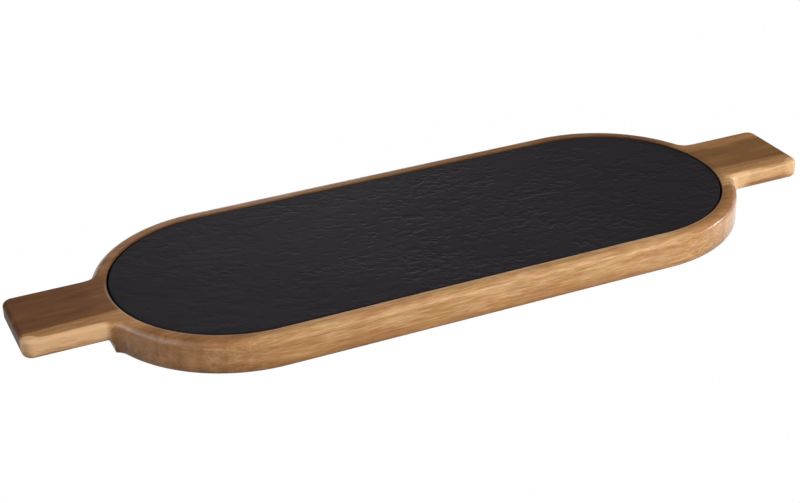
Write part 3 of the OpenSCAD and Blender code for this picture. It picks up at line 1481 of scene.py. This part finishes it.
def direction(azimuth: float, elevation: float) -> Vector:
    """Unit vector towards a stand: azimuth 0 is in front and 90 at the +X end, in degrees.

    Args:
        azimuth: Turn about Z.
        elevation: Rise over the floor.

    Returns:
        The vector.
    """
    turn, rise = math.radians(azimuth), math.radians(elevation)
    level = math.cos(rise)
    return Vector((math.sin(turn) * level, -math.cos(turn) * level, math.sin(rise)))


@dataclass(frozen=True)
class Camera:
    """The photograph's camera: where it stands, what it looks at and how far it is rolled."""

    target: tuple = (-0.026188, -0.021921, 0.018185)
    azimuth: float = -23.734
    elevation: float = 27.899
    roll: float = 1.634
    distance: float = 0.86334
    focal_pixels: float = 1640.5
    image_w: float = 800.0
    sensor_w: float = 36.0
    clip: tuple = (0.01, 50.0)

    def build(self) -> None:
        """Sets the camera up as the scene's camera."""
        data = bpy.data.cameras.new("photo_camera")
        data.sensor_width = self.sensor_w
        data.lens = self.sensor_w * self.focal_pixels / self.image_w
        data.clip_start, data.clip_end = self.clip
        camera = add_object("photo_camera", data)
        back = direction(self.azimuth, self.elevation)
        level = Vector((0.0, 0.0, 1.0)).cross(back).normalized()
        right = Matrix.Rotation(-math.radians(self.roll), 3, back) @ level
        turn = Matrix((right, back.cross(right), back)).transposed().to_4x4()
        camera.matrix_world = Matrix.Translation(Vector(self.target) + back * self.distance) @ turn
        bpy.context.scene.camera = camera


@dataclass(frozen=True)
class Studio:
    """A floor and surround that are shown white, a pale horizon for gloss, and soft lamps."""

    # The floor: half its side, how far it lies below the board, its true colour and how far it is shown white
    floor_half: float = 12.0
    floor_gap: float = 0.0002
    floor_albedo: float = 0.08
    shown_white: float = 0.995
    # How bright gloss mirrors the floor, from the left of the board to its right
    mirrored_white: tuple = (0.4, 1.5)
    mirrored_x: float = 0.35
    # The even light all round
    ambient: float = 0.23
    # What gloss mirrors: a dim sky over a pale horizon, whose fade is given as sines of elevation, and which
    # comes up from the left, given as a share of one towards +X
    sky: float = 0.06
    horizon: float = 1.5
    horizon_z: tuple = (0.10, 0.26)
    horizon_x: tuple = (-0.5, -0.1)
    lamps: tuple = (
        Lamp("key_lamp", azimuth=38, elevation=20, width=0.85, height=0.85, watts=39, on_gloss=False),
        Lamp("glint_lamp", azimuth=27, elevation=19, width=0.6, height=0.7, watts=14, on_matt=False),
        Lamp("side_lamp", azimuth=76, elevation=13, width=0.55, height=0.3, watts=17, on_matt=False),
        Lamp("left_lamp", azimuth=-90, elevation=18, width=1.9, height=1.05, watts=14),
        Lamp("sheen_lamp", azimuth=-85, elevation=42, width=2.6, height=1.6, watts=26, on_matt=False),
        Lamp("back_lamp", azimuth=164, elevation=13, width=0.5, height=0.5, watts=2.6, distance=2.4),
    )
    lamps_aim: tuple = (0.0, 0.0, 0.01)

    @staticmethod
    def rays(shader: Shader) -> tuple[Term, Term]:
        """Tells how a surface is looked at.

        Args:
            shader: The shader that asks.

        Returns:
            One for a camera or see-through ray, and one for a mirror-like ray.
        """
        path = shader.node("ShaderNodeLightPath").outputs
        camera, glossy, through = (
            Term(shader, path[name]) for name in ("Is Camera Ray", "Is Glossy Ray", "Is Transmission Ray")
        )
        return camera.at_least(through), glossy

    def build_floor(self) -> None:
        """Lays the floor: matt, and shown nearly white, so that a soft shadow stays on it."""
        half, albedo = self.floor_half, self.floor_albedo
        corners = np.array([[-half, -half], [half, -half], [half, half], [-half, half]])
        mesh = bpy.data.meshes.new("studio_floor")
        mesh.from_pydata(lifted(corners, -self.floor_gap).tolist(), [], [(0, 1, 2, 3)])
        material, shader = new_material("white_floor")
        matt = shader.node("ShaderNodeBsdfDiffuse", sockets={"Color": (albedo, albedo, albedo, 1.0)})
        seen, glossy = self.rays(shader)
        along, _, _ = shader.parts(shader.place())
        mirrored = along.eased(-self.mirrored_x, self.mirrored_x, *self.mirrored_white)
        glow = {"Color": WHITE, "Strength": seen + glossy * mirrored}
        white = shader.node("ShaderNodeEmission", sockets=glow)
        layers = {0: seen * self.shown_white + glossy, 1: matt.outputs[0], 2: white.outputs[0]}
        mixed = shader.node("ShaderNodeMixShader", sockets=layers)
        shader.node("ShaderNodeOutputMaterial", sockets={"Surface": mixed.outputs[0]})
        mesh.materials.append(material)
        floor = add_object("studio_floor", mesh)

    def build_world(self) -> None:
        """Surrounds the scene with even light, shown white; gloss mirrors a pale horizon and a dim sky."""
        world = bpy.data.worlds.new("studio_surround")
        world.use_nodes = True
        bpy.context.scene.world = world
        shader = Shader(world.node_tree)
        aside, _, rise = shader.parts(shader.node("ShaderNodeTexCoord").outputs["Generated"])
        pale = aside.eased(*self.horizon_x) * (self.horizon - self.sky)
        mirrored = rise.eased(*self.horizon_z, 1.0, 0.0) * pale + self.sky
        seen, glossy = self.rays(shader)
        strength = self.ambient + seen * (1.0 - self.ambient) + glossy * (mirrored - self.ambient)
        soft = shader.node("ShaderNodeBackground", sockets={"Color": WHITE, "Strength": strength})
        shader.node("ShaderNodeOutputWorld", sockets={"Surface": soft.outputs[0]})

    def build(self) -> None:
        """Sets up the floor, the surround, the lamps and the colour handling."""
        bpy.context.scene.view_settings.view_transform = "Standard"
        self.build_floor()
        self.build_world()
        for lamp in self.lamps:
            lamp.build(Vector(self.lamps_aim))


def main() -> None:
    """Builds the camera, the board, its slate and pads, and the studio."""
    logging.basicConfig(level=logging.INFO, format="%(name)s: %(message)s")
    Camera().build()
    board = Board.from_frame()
    board.build()
    SlatePlate.from_frame(board.arc_x).build()
    Pads.from_frame(board.arc_x).build()
    Studio().build()


if __name__ == "__main__":
    main()
